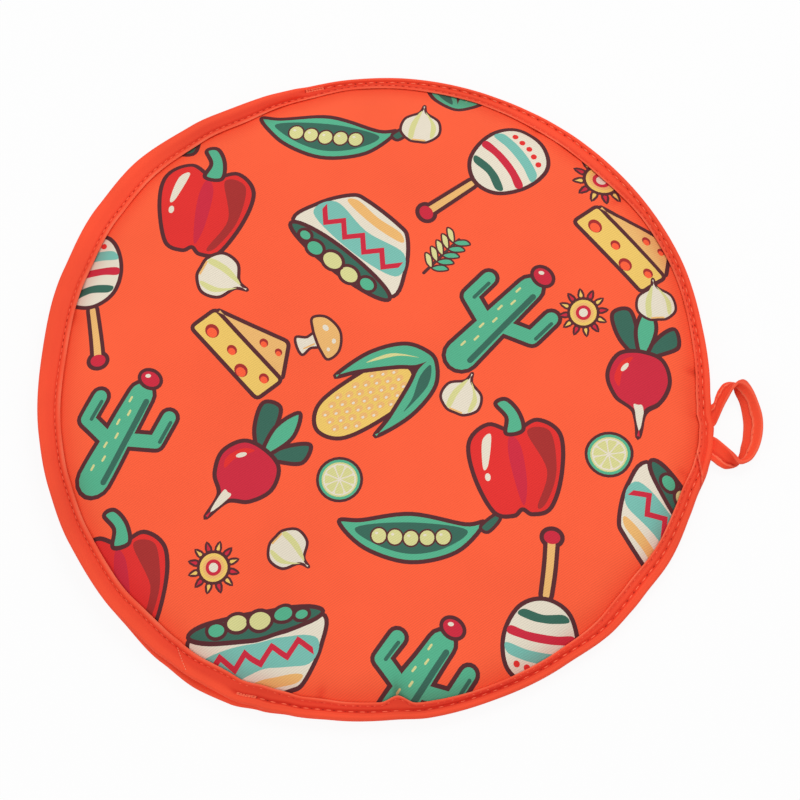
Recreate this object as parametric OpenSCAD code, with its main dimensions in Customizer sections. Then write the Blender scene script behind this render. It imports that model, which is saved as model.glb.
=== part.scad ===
// Round insulated fabric pouch that keeps flatbreads warm.
// Two padded discs, each bound round its rim with folded tape, are sewn
// together over about two thirds of the rim. The rest is the mouth. The front
// disc folds up about the straight line between the two ends of the mouth.
// The pouch lies on its back, mouth towards -X, hanging loop towards +X.

/* [Pouch] */
// Diameter over the bindings
pouch_d = 305; // [240:5:360]
// Free height inside, at the middle of the closed pouch
cavity_h = 12; // [8:1:20]
// How square the shoulders of the front disc are
shoulder_power = 7; // [4:1:10]

/* [Mouth] */
// Part of the rim that is left unsewn, as an angle at the centre
mouth_angle = 142; // [110:2:150]
// How far the relaxed flap stands up from the back, in degrees
mouth_gape = 4; // [3:0.5:8]

/* [Layers] */
// Thickness of the printed cover cloth
cover_t = 0.4; // [0.3:0.05:0.8]
// Loft of the wadding
wadding_t = 2.6; // [2:0.2:4]
// Thickness of the wadding where the binding presses it
pressed_t = 0.9; // [0.5:0.1:1.2]
// Thickness of the lining cloth
lining_t = 0.3; // [0.2:0.05:0.6]
// Width of the ring over which the wadding thins towards the binding
tuck_w = 9; // [6:1:14]

/* [Binding] */
// Finished width of the folded tape
tape_w = 11; // [9:0.5:15]
// Thickness of the folded tape
tape_t = 0.6; // [0.4:0.1:1]
// Distance from the rim to the seam that joins the two discs
seam_inset = 5; // [4:0.5:7]
// Distance from the inner edge of the tape to its own row of stitches
edge_stitch_inset = 1.4; // [1:0.1:2]

/* [Thread] */
// Thickness of the sewing thread rows
thread_d = 0.4; // [0.3:0.05:0.6]
// Length of the reinforced stitching at each end of the mouth
bar_tack_l = 9; // [6:1:14]
// Width of the reinforced stitching
bar_tack_w = 1.8; // [1.2:0.1:2.4]

/* [Hanging loop] */
// How far the middle of the loop's tape stands out from the rim
loop_reach = 17.5; // [15:0.5:30]
// Distance between the middles of the loop's two sewn ends
loop_spacing = 12.8; // [12:0.2:20]
// How far the loop swells sideways beyond its sewn ends
loop_belly = 11.5; // [4:0.5:14]
// Place of the loop along the rim, from the line through the mouth
loop_side = -2.5; // [-8:0.5:8]
// Width of the loop's tape
loop_w = 10.5; // [8:0.5:11.5]
// Turn of the loop's tape about its own line at the far end, in degrees
loop_turn = 42; // [20:2:60]
// How deep the loop's ends reach under the front binding
tail_l = 8.5; // [7:0.5:9]

/* [Fits] */
// Gap between two layers that are sewn together
ply_gap = 0.1; // [0.05:0.05:0.2]
// Gap between the two bound rims, and between parts that move apart
pad_gap = 0.3; // [0.2:0.05:0.5]
// Height of the loop's lower edge over the table, to its middle thickness
loop_clear = 1.2; // [0.8:0.1:3]

/* [Hidden] */
$fn = 96;

cloth_colour = [0.98, 0.36, 0.22];
tape_colour = [0.97, 0.28, 0.15];
lining_colour = [0.93, 0.90, 0.84];
wadding_colour = [0.96, 0.96, 0.94];
thread_colour = [0.90, 0.24, 0.14];

rim_r = pouch_d / 2;
seam_r = rim_r - seam_inset;
tape_in = rim_r - tape_w;
stitch_r = tape_in + edge_stitch_inset;

// one disc: loose thickness, thickness at its raw edge, thickness over its binding
pad_t = cover_t + wadding_t + lining_t + 2 * ply_gap;
edge_t = pad_t - wadding_t + pressed_t;
rim_t = edge_t + 2 * (tape_t + ply_gap);
nose_r = rim_t / 2;
slot_r = rim_r - 1.5 * tape_t;
edge_r = slot_r - ply_gap;

// the stitches under the back binding stay just clear of the table
rim_lift = thread_d + 2 * ply_gap;
front_z = rim_lift + rim_t + pad_gap;

// steps along the profiles: the open dome, the tuck, and under the tape on
// each side of the joining seam
dome_steps = 9;
tuck_steps = 6;
inner_steps = 3;
outer_steps = 2;
nose_steps = 10;
tuck_r = tape_in - tuck_w;
function under_tape(end) = concat(
    [for (i = [0 : inner_steps]) tape_in + (seam_r - tape_in) * i / inner_steps],
    [for (i = [1 : outer_steps]) seam_r + (end - seam_r) * i / outer_steps]
);
pad_radii = concat(
    [for (i = [0 : dome_steps - 1]) tuck_r * sin(90 * i / dome_steps)],
    [for (i = [0 : tuck_steps - 1]) tuck_r + tuck_w * i / tuck_steps],
    under_tape(edge_r)
);
tape_radii = under_tape(rim_r - nose_r);
slot_radii = under_tape(slot_r);
last_tape = len(tape_radii) - 1;

// 0 in the open disc, 1 under the tape
function tuck(r) = r <= tuck_r ? 0 : r >= tape_in ? 1 : (1 - cos(180 * (r - tuck_r) / tuck_w)) / 2;
function loft(r) = wadding_t + (pressed_t - wadding_t) * tuck(r);
function whole_t(r) = pad_t - wadding_t + loft(r);
function cavity(r) = r >= seam_r ? 0 : cavity_h * (1 - pow(r / seam_r, shoulder_power));

// undersides of the two discs
function back_z(r) = (rim_lift + tape_t + ply_gap) * tuck(r);
function front_lining_z(r) =
    back_z(r) + whole_t(r) + pad_gap + cavity(r) + 2 * (tape_t + ply_gap) * tuck(r);
function front_top_z(r) = front_lining_z(r) + whole_t(r);

// undersides of the two bindings
function back_tape_z(r) = rim_lift;
function front_tape_z(r) = front_z + cavity(r);
// how much higher a thread's middle lies over the leaning tape than over a level one
function lean(r) = sqrt(1 + pow(front_tape_z(r - 1) - front_tape_z(r), 2));

// the fold line of the mouth, along Y just above the crown
fold_x = -rim_r * cos(mouth_angle / 2);
fold_z = front_top_z(abs(fold_x)) + ply_gap;

// the line on which the loop bends, just outside the rim
loop_t = 2 * tape_t;
bend_x = rim_r + loop_t + 2 * pad_gap;
bend_z = rim_lift + rim_t + pad_gap / 2;

// a layer of one disc, between two heights above its lower line
module ring_layer(low, high) {
    rotate_extrude()
        polygon(concat(low, [for (i = [len(high) - 1 : -1 : 0]) high[i]]));
}

module back_layer(from, to) {
    ring_layer(
        [for (r = pad_radii) [r, back_z(r) + from(r)]],
        [for (r = pad_radii) [r, back_z(r) + to(r)]]
    );
}

module front_layer(from, to) {
    ring_layer(
        [for (r = pad_radii) [r, front_lining_z(r) + from(r)]],
        [for (r = pad_radii) [r, front_lining_z(r) + to(r)]]
    );
}

// folded tape round a raw edge: a channel with a round nose
module binding_ring(z) {
    nose_z = z(rim_r) + nose_r;
    rotate_extrude()
        polygon(concat(
            [for (r = tape_radii) [r, z(r)]],
            [for (i = [1 : nose_steps - 1])
                let (a = -90 + 180 * i / nose_steps)
                [rim_r - nose_r + nose_r * cos(a), nose_z + nose_r * sin(a)]],
            [for (i = [last_tape : -1 : 0]) [tape_radii[i], z(tape_radii[i]) + rim_t]],
            [for (r = slot_radii) [r, z(r) + rim_t - tape_t]],
            [for (i = [last_tape : -1 : 0]) [slot_radii[i], z(slot_radii[i]) + tape_t]]
        ));
}

// a row of stitches as one line of thread, round half an angle each side of +X
module thread_arc(r, z, half_angle) {
    rotate([0, 0, -half_angle])
        rotate_extrude(angle = 2 * half_angle)
            translate([r, z]) circle(d = thread_d, $fn = 24);
}

// keeps what is on the sewn side of the fold line
module sewn_side() {
    intersection() {
        children();
        translate([fold_x + pad_gap / 2, -pouch_d, -pouch_d]) cube(2 * pouch_d);
    }
}

// keeps what is on the mouth side of the fold line
module mouth_side() {
    intersection() {
        children();
        translate([fold_x - pad_gap / 2 - 2 * pouch_d, -pouch_d, -pouch_d]) cube(2 * pouch_d);
    }
}

// the relaxed flap stands a little open about the fold line
module relaxed_flap() {
    translate([fold_x, 0, fold_z])
        rotate([0, mouth_gape, 0])
            translate([-fold_x, 0, -fold_z]) children();
}

// the room that a sewn end of the loop takes between the two bindings
module tail_block(side, clearance) {
    y = loop_side + side * loop_spacing / 2;
    in_x = sqrt(rim_r * rim_r - y * y) - tail_l;
    translate([in_x - clearance, y - loop_w / 2 - clearance, bend_z - tape_t / 2 - clearance])
        cube([bend_x - in_x + 2 * clearance, loop_w + 2 * clearance, tape_t + 2 * clearance]);
}

module back_cover() {
    color(cloth_colour) back_layer(function(r) 0, function(r) cover_t);
}

module back_wadding() {
    color(wadding_colour)
        back_layer(function(r) cover_t + ply_gap, function(r) cover_t + ply_gap + loft(r));
}

module back_lining() {
    color(lining_colour)
        back_layer(function(r) whole_t(r) - lining_t, function(r) whole_t(r));
}

module back_binding() {
    color(tape_colour)
        difference() {
            binding_ring(function(r) back_tape_z(r));
            for (side = [-1, 1]) tail_block(side, ply_gap);
        }
}

module back_binding_stitching() {
    color(thread_colour)
        rotate_extrude()
            translate([stitch_r, back_tape_z(stitch_r) - thread_d / 2 - ply_gap])
                circle(d = thread_d, $fn = 24);
}

module front_pad_cover() {
    front_layer(function(r) whole_t(r) - cover_t, function(r) whole_t(r));
}

module front_pad_wadding() {
    front_layer(function(r) lining_t + ply_gap, function(r) lining_t + ply_gap + loft(r));
}

module front_pad_lining() {
    front_layer(function(r) 0, function(r) lining_t);
}

module front_tape() {
    binding_ring(function(r) front_tape_z(r));
}

// the row along the inner edge of the front tape, on one side of the fold line
front_stitch_z = front_tape_z(stitch_r) + rim_t + (thread_d / 2 + ply_gap) * lean(stitch_r);
module front_stitch_row(side) {
    reach = acos(side * (fold_x + side * pad_gap) / stitch_r);
    rotate([0, 0, side > 0 ? 0 : 180]) thread_arc(stitch_r, front_stitch_z, reach);
}

module front_cover() {
    color(cloth_colour) sewn_side() front_pad_cover();
}

module front_wadding() {
    color(wadding_colour) sewn_side() front_pad_wadding();
}

module front_lining() {
    color(lining_colour) sewn_side() front_pad_lining();
}

module front_binding() {
    color(tape_colour)
        difference() {
            sewn_side() front_tape();
            for (side = [-1, 1]) tail_block(side, ply_gap);
        }
}

module front_binding_stitching() {
    color(thread_colour) front_stitch_row(1);
}

module flap_cover() {
    color(cloth_colour) relaxed_flap() mouth_side() front_pad_cover();
}

module flap_wadding() {
    color(wadding_colour) relaxed_flap() mouth_side() front_pad_wadding();
}

module flap_lining() {
    color(lining_colour) relaxed_flap() mouth_side() front_pad_lining();
}

module flap_binding() {
    color(tape_colour) relaxed_flap() mouth_side() front_tape();
}

module flap_binding_stitching() {
    color(thread_colour) relaxed_flap() front_stitch_row(-1);
}

// half the angle of the sewn rim, and the angle that a bar tack takes
sewn_half = 180 - mouth_angle / 2;
end_clear = 1;
tack_angle = bar_tack_l / seam_r * 180 / PI;

// seen from the front and from the back, the seam that holds the two discs together
module joining_seam() {
    reach = sewn_half - end_clear - tack_angle - 0.2;
    seam_top = front_tape_z(seam_r) + rim_t + (thread_d / 2 + ply_gap) * lean(seam_r);
    seam_foot = back_tape_z(seam_r) - thread_d / 2 - ply_gap;
    color(thread_colour)
        for (z = [seam_top, seam_foot]) thread_arc(seam_r, z, reach);
}

// dense stitching at both ends of the mouth, on the front and on the back
module bar_tacks() {
    tack_in = seam_r - bar_tack_w / 4;
    tops = [front_tape_z(tack_in) + rim_t + ply_gap, back_tape_z(tack_in) - ply_gap - thread_d];
    color(thread_colour)
        for (side = [-1, 1], z = tops)
            rotate([0, 0, side > 0 ? sewn_half - end_clear - tack_angle : -sewn_half + end_clear])
                rotate_extrude(angle = tack_angle)
                    translate([tack_in, z]) square([bar_tack_w, thread_d]);
}

module loop_tails() {
    color(tape_colour)
        for (side = [-1, 1]) tail_block(side, 0);
}

// the loop's two edges: each half runs from a sewn end, at 0, to the far end, at 1
root_x = bend_x + 3 * pad_gap;
loop_half = loop_w / 2;
loop_out = loop_half * cos(loop_turn);
loop_up = loop_w * sin(loop_turn);
loop_steps = 36;
function bow(t, a, b, c, d) =
    pow(1 - t, 3) * a + 3 * pow(1 - t, 2) * t * b + 3 * (1 - t) * t * t * c + t * t * t * d;
function loop_edge(t, side, root_y, swell_y, far_x, far_z) = [
    root_x + bow(t, 0, loop_reach / 5, far_x, far_x),
    loop_side + side * bow(t, root_y, swell_y, swell_y, 0),
    bend_z + (far_z - bend_z) * pow(sin(90 * t), 1.5)
];
function loop_inner(t, side) = loop_edge(t, side, loop_spacing / 2 - loop_half,
    loop_spacing / 2 - loop_half + 1.25 * loop_belly, loop_reach - loop_out, loop_clear);
function loop_outer(t, side) = loop_edge(t, side, loop_spacing / 2 + loop_half,
    loop_spacing / 2 + loop_half + loop_belly, loop_reach + loop_out, loop_clear + loop_up);
// place on the whole loop: -1 at its -Y end, 0 at the far end, 1 at its +Y end
function loop_middle(u) = (loop_inner(1 - abs(u), sign(u)) + loop_outer(1 - abs(u), sign(u))) / 2;
function unit(v) = v / norm(v);
function loop_way(u) =
    abs(u) > 0.99 ? [-sign(u), 0, 0] : unit(loop_middle(u + 0.01) - loop_middle(u - 0.01));
tape_section = [
    [-1, -0.5], [-0.94, -1], [0.94, -1], [1, -0.5],
    [1, 0.5], [0.94, 1], [-0.94, 1], [-1, 0.5]
];

module hanging_loop() {
    sides = len(tape_section);
    points = [
        for (i = [0 : loop_steps])
            let (
                u = 2 * i / loop_steps - 1,
                inner = loop_inner(1 - abs(u), sign(u)),
                outer = loop_outer(1 - abs(u), sign(u)),
                up = unit(cross(loop_way(u), outer - inner))
            )
                for (q = tape_section)
                    (inner + outer) / 2 + (outer - inner) * q[0] / 2 + up * q[1] * loop_t / 2
    ];
    walls = [
        for (i = [0 : loop_steps - 1], k = [0 : sides - 1])
            let (a = i * sides + k, b = i * sides + (k + 1) % sides)
            each [[a, a + sides, b], [b, a + sides, b + sides]]
    ];
    first = [for (k = [1 : sides - 2]) [0, k, k + 1]];
    last_start = loop_steps * sides;
    last = [for (k = [1 : sides - 2]) [last_start, last_start + k + 1, last_start + k]];
    color(tape_colour) polyhedron(points = points, faces = concat(walls, first, last));
}

back_cover();
back_wadding();
back_lining();
back_binding();
back_binding_stitching();
front_cover();
front_wadding();
front_lining();
front_binding();
front_binding_stitching();
flap_cover();
flap_wadding();
flap_lining();
flap_binding();
flap_binding_stitching();
joining_seam();
bar_tacks();
loop_tails();
hanging_loop();
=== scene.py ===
# A round padded fabric pouch for flatbreads, put together as it is sewn.
import math

import bpy
import numpy as np
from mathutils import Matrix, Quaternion, Vector
from mathutils.geometry import delaunay_2d_cdt


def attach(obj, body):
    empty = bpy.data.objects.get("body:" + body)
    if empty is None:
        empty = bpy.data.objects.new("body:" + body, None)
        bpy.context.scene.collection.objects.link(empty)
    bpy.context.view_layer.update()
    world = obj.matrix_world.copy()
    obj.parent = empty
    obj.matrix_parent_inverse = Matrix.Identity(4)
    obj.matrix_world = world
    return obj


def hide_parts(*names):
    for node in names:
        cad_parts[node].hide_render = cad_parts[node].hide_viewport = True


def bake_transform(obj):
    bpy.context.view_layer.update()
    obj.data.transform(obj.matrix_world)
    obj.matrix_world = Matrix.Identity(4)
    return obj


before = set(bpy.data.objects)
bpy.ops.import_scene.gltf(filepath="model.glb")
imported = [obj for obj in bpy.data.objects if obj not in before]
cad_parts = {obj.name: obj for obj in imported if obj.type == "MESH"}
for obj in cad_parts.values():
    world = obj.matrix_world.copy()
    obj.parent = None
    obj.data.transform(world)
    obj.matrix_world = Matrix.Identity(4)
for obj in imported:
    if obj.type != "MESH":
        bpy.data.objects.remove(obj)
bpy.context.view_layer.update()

# ---------------------------------------------------------------- back disc
# Two cloth discs with a layer of wadding between them: plain pale lining
# inside, printed twill outside. The disc lies on the table and thins out
# under its binding. Lengths are in millimetres until a mesh is made.
rim_r = 152.5
layer_r = rim_r - 1.2
cover_t, lining_t, tape_t, ply = 0.4, 0.3, 0.6, 0.1
loft_open, loft_pressed = 2.6, 0.9
pad_t = cover_t + loft_open + lining_t + 2 * ply
edge_t = pad_t - loft_open + loft_pressed
rim_t = edge_t + 2 * (tape_t + ply)
table_gap = 0.6
tuck_w = 9.0
disc_turns = 360


def ease(t):
    t = np.clip(t, 0.0, 1.0)
    return t * t * (3 - 2 * t)


def around(angle, stations):
    """A value that goes smoothly from station to station round the rim."""
    at = np.asarray(angle, float) % 360
    out = np.zeros_like(at)
    ring = sorted(stations)
    ring = ring + [(ring[0][0] + 360, ring[0][1])]
    for (a0, v0), (a1, v1) in zip(ring[:-1], ring[1:]):
        for lap in (0, 360):
            t = (at + lap - a0) / (a1 - a0)
            here = (t >= 0) & (t <= 1)
            out = np.where(here, v0 + (v1 - v0) * ease(t), out)
    return out


def round_the_rim(stations):
    """The same as a function of the angle, which remembers the angles asked for one by one."""
    known = {}

    def value(angle):
        if np.ndim(angle):
            return around(angle, stations)
        if angle not in known:
            known[angle] = around(angle, stations)
        return known[angle]

    return value


# how much of the tape's width shows on top of the rim
tape_width = round_the_rim([
    (0, 6.6), (20, 5.8), (38, 6.3), (52, 8.4), (62, 8.2), (80, 6.6), (98, 5.9), (110, 7.4), (122, 10.3),
    (145, 12.4), (178, 11.3), (205, 9.6), (225, 9.8), (238, 10.1), (244, 9.4), (250, 9.8), (258, 9.1),
    (265, 7.8), (273, 7.0), (278, 6.9), (281, 9.2), (284, 6.2), (296, 5.7), (308, 6.2), (325, 8.2),
    (345, 7.2)])


def tape_in(angle):
    return rim_r - tape_width(angle)


def angle_of(x, y):
    return np.degrees(np.arctan2(y, x)) % 360


# how far use has pushed the rim out of round, and how far the front disc's
# rim has slipped in over the back one at the lower end of the mouth
rim_push = [(1, -0.4), (5, -1.1), (15, -1.3), (30, 0), (50, -0.2), (62, 0), (75, -0.2), (90, -0.3),
            (100, -0.6), (112, -1.3), (121, -1.4), (130, -0.1), (142, 1.6), (152, 0.4), (165, -1.7),
            (180, -3.1), (195, -2.1), (205, -1.6), (215, -0.6), (230, 1.0), (240, 3.1), (247, 4.7),
            (253, 4.3), (258, 2.3), (263, 0.7), (270, -0.4), (280, -0.8), (286, 0.2), (295, 0.1),
            (310, 0.8), (318.7, 2.3), (324, 1.7), (328, 1.3), (334, 1.9), (343, 0.9), (346, 0.8),
            (351.5, 2.2), (354.5, 2.4), (358, 1.6)]
front_slip = [(0, 0), (228, 0), (238, 1.4), (247, 2.6), (256, 0.8), (264, 0)]
# the disc hasn't moved inside still_r, and moves with its rim from moved_r outwards
still_r, moved_r = 70, 145


def settle(corners, front=False):
    """The same places on the pouch as it lies, no longer quite round."""
    p = np.asarray(corners, float).copy()
    r, a = np.hypot(p[:, 0], p[:, 1]), angle_of(p[:, 0], p[:, 1])
    push = around(a, rim_push) - (around(a, front_slip) if front else 0.0)
    p[:, :2] *= (1 + push * ease((r - still_r) / (moved_r - still_r)) / np.maximum(r, 1.0))[:, None]
    return p


def tucked(r, angle):
    return ease((r - (tape_in(angle) - tuck_w)) / tuck_w)


def loft(r, angle):
    return loft_open + (loft_pressed - loft_open) * tucked(r, angle)


def whole_t(r, angle):
    return pad_t - loft_open + loft(r, angle)


def back_z(r, angle):
    return (table_gap + tape_t + ply) * tucked(r, angle)


def grid_disc(rings, turns):
    """Corner places and faces of a disc made of rings round a middle point."""
    angle = np.radians(np.arange(turns) * 360.0 / turns)
    xy = [np.zeros((1, 2))]
    for r in rings:
        reach = r(np.degrees(angle)) if callable(r) else np.full(turns, float(r))
        xy.append(np.stack([reach * np.cos(angle), reach * np.sin(angle)], 1))
    faces = [(0, 1 + k, 1 + (k + 1) % turns) for k in range(turns)]
    for i in range(len(rings) - 1):
        a, b = 1 + i * turns, 1 + (i + 1) * turns
        faces += [(a + k, b + k, b + (k + 1) % turns, a + (k + 1) % turns) for k in range(turns)]
    return np.concatenate(xy), faces


def in_scene(name, data):
    thing = bpy.data.objects.new(name, data)
    bpy.context.scene.collection.objects.link(thing)
    return thing


def make_piece(name, corners, faces, material):
    mesh = bpy.data.meshes.new(name)
    mesh.from_pydata([tuple(c) for c in np.asarray(corners, float) * 0.001], [], faces)
    mesh.polygons.foreach_set("use_smooth", [True] * len(mesh.polygons))
    mesh.materials.append(material)
    mesh.update()
    return in_scene(name, mesh)


# rings of corners where the disc thins out, and then under its tape
edge_rings = [lambda a, k=k: tape_in(a) - tuck_w + k * tuck_w / 8 for k in range(9)] \
    + [lambda a, k=k: tape_in(a) + (layer_r - tape_in(a)) * k / 4 for k in range(1, 5)]
pad_rings = [3, 8, 14, 21, 29, 37, 45, 52, 58, 64, 70, 76, 82, 88, 94, 100, 106, 112, 117, 122, 126] \
    + edge_rings


def shell(low, high, faces):
    """A closed pad between two faces that share their outline."""
    count = len(low)
    edge = count - disc_turns
    sides = [(edge + k, edge + (k + 1) % disc_turns, count + edge + (k + 1) % disc_turns, count + edge + k)
             for k in range(disc_turns)]
    return (np.concatenate([low, high]),
            [tuple(reversed(f)) for f in faces] + [tuple(i + count for i in f) for f in faces] + sides)


def add_node(tree, kind, inputs=(), **settings):
    """Adds a node. An input takes a value, a wire from a socket, or one from another node's first output."""
    node = tree.nodes.new(kind)
    for key, value in settings.items():
        setattr(node, key, value)
    for key, value in dict(inputs).items():
        if isinstance(value, bpy.types.Node):
            value = value.outputs[0]
        if isinstance(value, bpy.types.NodeSocket):
            tree.links.new(value, node.inputs[key])
        else:
            node.inputs[key].default_value = value
    return node


def bare_tree(owner):
    owner.use_nodes = True
    owner.node_tree.nodes.clear()
    return owner.node_tree


def shade(name, base, rough):
    """A plain cloth-like surface."""
    material = bpy.data.materials.new(name)
    tree = bare_tree(material)
    body = add_node(tree, "ShaderNodeBsdfPrincipled",
                    {"Roughness": rough, "Specular IOR Level": 0.22, "Base Color": (*base, 1)})
    add_node(tree, "ShaderNodeOutputMaterial", {"Surface": body})
    return material, tree, body


def linear(r, g, b):
    return tuple((c / 255 / 12.92) if c <= 10.3 else ((c / 255 + 0.055) / 1.055) ** 2.4 for c in (r, g, b))


def woven(name, base, rough=0.8, attribute=None, rib=0.62, lean=45, rib_depth=0.10, tone=0.06, bump=0.06,
          blotch=0.05):
    """Twill: fine slanting ribs and a crossing thread, a slow change of tone and a little fuzz."""
    material, tree, body = shade(name, base, rough)
    place = add_node(tree, "ShaderNodeTexCoord").outputs["Object"]
    ribs = []
    for turn, size in ((lean, rib), (lean - 78, rib * 0.72)):
        slanted = add_node(tree, "ShaderNodeMapping",
                           {"Rotation": (0, 0, math.radians(turn)), "Vector": place})
        wave = add_node(tree, "ShaderNodeTexWave",
                        {"Scale": 1000.0 * 2 * math.pi / 20 / size, "Distortion": 0.6, "Detail": 1.0,
                         "Detail Scale": 2.0, "Vector": slanted})
        ribs.append(wave.outputs["Fac"])
    cloth = add_node(tree, "ShaderNodeMath", {0: ribs[1], 1: 0.35, 2: ribs[0]}, operation="MULTIPLY_ADD")
    slow = add_node(tree, "ShaderNodeTexNoise", {"Scale": 22.0, "Detail": 3.0, "Vector": place})
    light = add_node(tree, "ShaderNodeMapRange",
                     {"From Max": 1.35, "To Min": 1 - tone, "To Max": 1 + tone * 0.4, "Value": cloth})
    wide = add_node(tree, "ShaderNodeMapRange",
                    {"From Min": 0.3, "From Max": 0.7, "To Min": 1 - blotch, "To Max": 1 + blotch * 0.5,
                     "Value": slow.outputs["Fac"]})
    both = add_node(tree, "ShaderNodeMath", {0: light, 1: wide}, operation="MULTIPLY")
    tint = base
    if attribute:
        tint = add_node(tree, "ShaderNodeAttribute", attribute_name=attribute).outputs["Color"]
    dye = add_node(tree, "ShaderNodeVectorMath", {0: tint, "Scale": both}, operation="SCALE")
    tree.links.new(dye.outputs["Vector"], body.inputs["Base Color"])
    relief = add_node(tree, "ShaderNodeBump",
                      {"Strength": bump, "Distance": rib_depth * 0.001, "Height": cloth})
    tree.links.new(relief.outputs["Normal"], body.inputs["Normal"])
    return material


lining_cloth = woven("lining_plain_weave", linear(236, 229, 214), rib=0.9, lean=0, tone=0.05)
wadding_fill = woven("wadding_fibres", linear(240, 240, 236), rough=0.95, rib=2.3, lean=20, tone=0.08,
                     rib_depth=0.5, bump=0.4)

plan, plan_faces = grid_disc(pad_rings, disc_turns)
plan_r = np.hypot(plan[:, 0], plan[:, 1])
plan_a = angle_of(plan[:, 0], plan[:, 1])
base = back_z(plan_r, plan_a)
low = np.column_stack([plan, base + cover_t + ply])
high = np.column_stack([plan, base + cover_t + ply + loft(plan_r, plan_a)])
piece = make_piece("back_wadding_pad", *shell(settle(low), settle(high), plan_faces), wadding_fill)
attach(piece, "pouch")
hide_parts("back_wadding")

lining = np.column_stack([plan, base + whole_t(plan_r, plan_a)])
piece = make_piece("back_lining_cloth", settle(lining), plan_faces, lining_cloth)
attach(piece, "pouch")
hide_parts("back_lining")

# ---------------------------------------------------------------- the print
# The outside cloth is printed all over before it is cut: kitchen and garden
# things in dark outline on an orange ground, cut off wherever the disc's
# edge falls. Each thing is a stack of flat shapes, in its own millimetres.
ground = (255, 96, 58)
ink = (88, 41, 45)
cream, straw, corn = (232, 222, 202), (238, 184, 112), (240, 200, 104)
red, crimson, rust = (228, 47, 44), (206, 40, 62), (168, 46, 44)
leaf, deep, lime, sky = (86, 178, 140), (56, 104, 88), (217, 214, 146), (122, 190, 176)


def between(a, b, c, d, per):
    """Places from b to c on the smooth line through four points."""
    return [0.5 * (2 * b + (c - a) * t + (2 * a - 5 * b + 4 * c - d) * t * t
                   + (3 * b - a - 3 * c + d) * t ** 3) for t in (k / per for k in range(per))]


def curve(points, per=7):
    """A smooth closed line through a few points."""
    p, n = np.array(points, float), len(points)
    return np.array([q for i in range(n)
                     for q in between(p[i - 1], p[i], p[(i + 1) % n], p[(i + 2) % n], per)])


def mirrored(half):
    """A smooth closed line with a left side like the right one, which is given from end to end."""
    return curve(half + [(-x, y) for x, y in reversed(half[1:-1])])


def turned(u, v, turn, x=0, y=0, size=1):
    """Turns and enlarges one place or many, and moves them to x, y."""
    c, s = math.cos(math.radians(turn)) * size, math.sin(math.radians(turn)) * size
    return x + u * c - v * s, y + u * s + v * c


def at_angle(r, angle):
    return r * math.cos(math.radians(angle)), r * math.sin(math.radians(angle))


def oval(x, y, a, b=None, turn=0, count=28):
    b = a if b is None else b
    t = np.linspace(0, 2 * math.pi, count, endpoint=False)
    return np.column_stack(turned(a * np.cos(t), b * np.sin(t), turn, x, y))


def bar(x0, y0, x1, y1, w0, w1=None):
    """A stroke with round ends."""
    w1 = w0 if w1 is None else w1
    a = math.atan2(y1 - y0, x1 - x0)
    t = np.linspace(math.pi / 2, 3 * math.pi / 2, 9)
    first = np.column_stack([x0 + w0 / 2 * np.cos(a + t), y0 + w0 / 2 * np.sin(a + t)])
    last = np.column_stack([x1 - w1 / 2 * np.cos(a + t), y1 - w1 / 2 * np.sin(a + t)])
    return np.concatenate([first, last])


def grow(shape, by):
    """The same outline, further out or in."""
    p = np.asarray(shape, float)
    along = np.roll(p, -1, 0) - np.roll(p, 1, 0)
    length = np.maximum(np.hypot(along[:, 0], along[:, 1]), 1e-6)
    side = 1 if np.sum(p[:, 0] * np.roll(p[:, 1], -1) - np.roll(p[:, 0], -1) * p[:, 1]) > 0 else -1
    return p + np.column_stack([along[:, 1], -along[:, 0]]) / length[:, None] * by * side


def inked(*shapes, line=1.15):
    """Shapes that share one dark outline: first all the ink, then all the colour."""
    return [(ink, grow(s, line)) for _, s in shapes] + [(c, grow(s, -line)) for c, s in shapes]


def corn_cob():
    cob = mirrored([(0, 40), (11, 32), (14, 12), (12, -10), (0, -20)])
    left = curve([(0, -34), (-14, -26), (-21, -6), (-20, 16), (-15, 4), (-6, -14), (0, -24)])
    right = curve([(0, -34), (0, -24), (6, -14), (15, 4), (20, 16), (21, -6), (14, -26)])
    out = inked((corn, cob))
    for row in range(9):
        y = -12 + 5.4 * row
        for k in range(-2, 3):
            x = k * 4.7 + (2.3 if row % 2 else 0)
            if abs(x) < 11.2 - max(0, y - 18) * 0.42:
                out.append((straw, oval(x, y, 1.9, 2.3, count=12)))
                out.append((cream, oval(x - 0.4, y + 0.7, 0.7, 0.9, count=8)))
    out += inked((leaf, left), (leaf, right))
    out += [(deep, curve([(-3, -30), (-12, -22), (-17, -4), (-13, -12), (-5, -22)])),
            (lime, curve([(4, -27), (11, -18), (17, -2), (14, -16)]))]
    return out


def cactus():
    parts = [bar(0, -26, 0, 26, 19, 15), bar(-20, 2, -20, 15, 9.5), bar(-20, 1, -3, -4, 9.5),
             bar(20, 8, 20, 22, 9.5), bar(20, 7, 3, 0, 9.5)]
    out = [(ink, grow(p, 1.2)) for p in parts] + [(leaf, grow(p, -1.1)) for p in parts]
    out += [(deep, bar(5.4, -25, 4.4, 24, 3.2)), (deep, bar(22, 8, 22, 20, 2)),
            (deep, bar(-18, 2, -18, 13, 2))]
    for i in range(7):
        out.append((lime, bar(-4 + 3 * (i % 2), -22 + 7 * i, -4 + 3 * (i % 2), -19.4 + 7 * i, 1.2)))
    out += inked((crimson, oval(0, 36, 6.5, 5)), line=1.0)
    out += [(cream, oval(-2, 37, 1.6, 1.1, 30, 12))]
    return out


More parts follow.
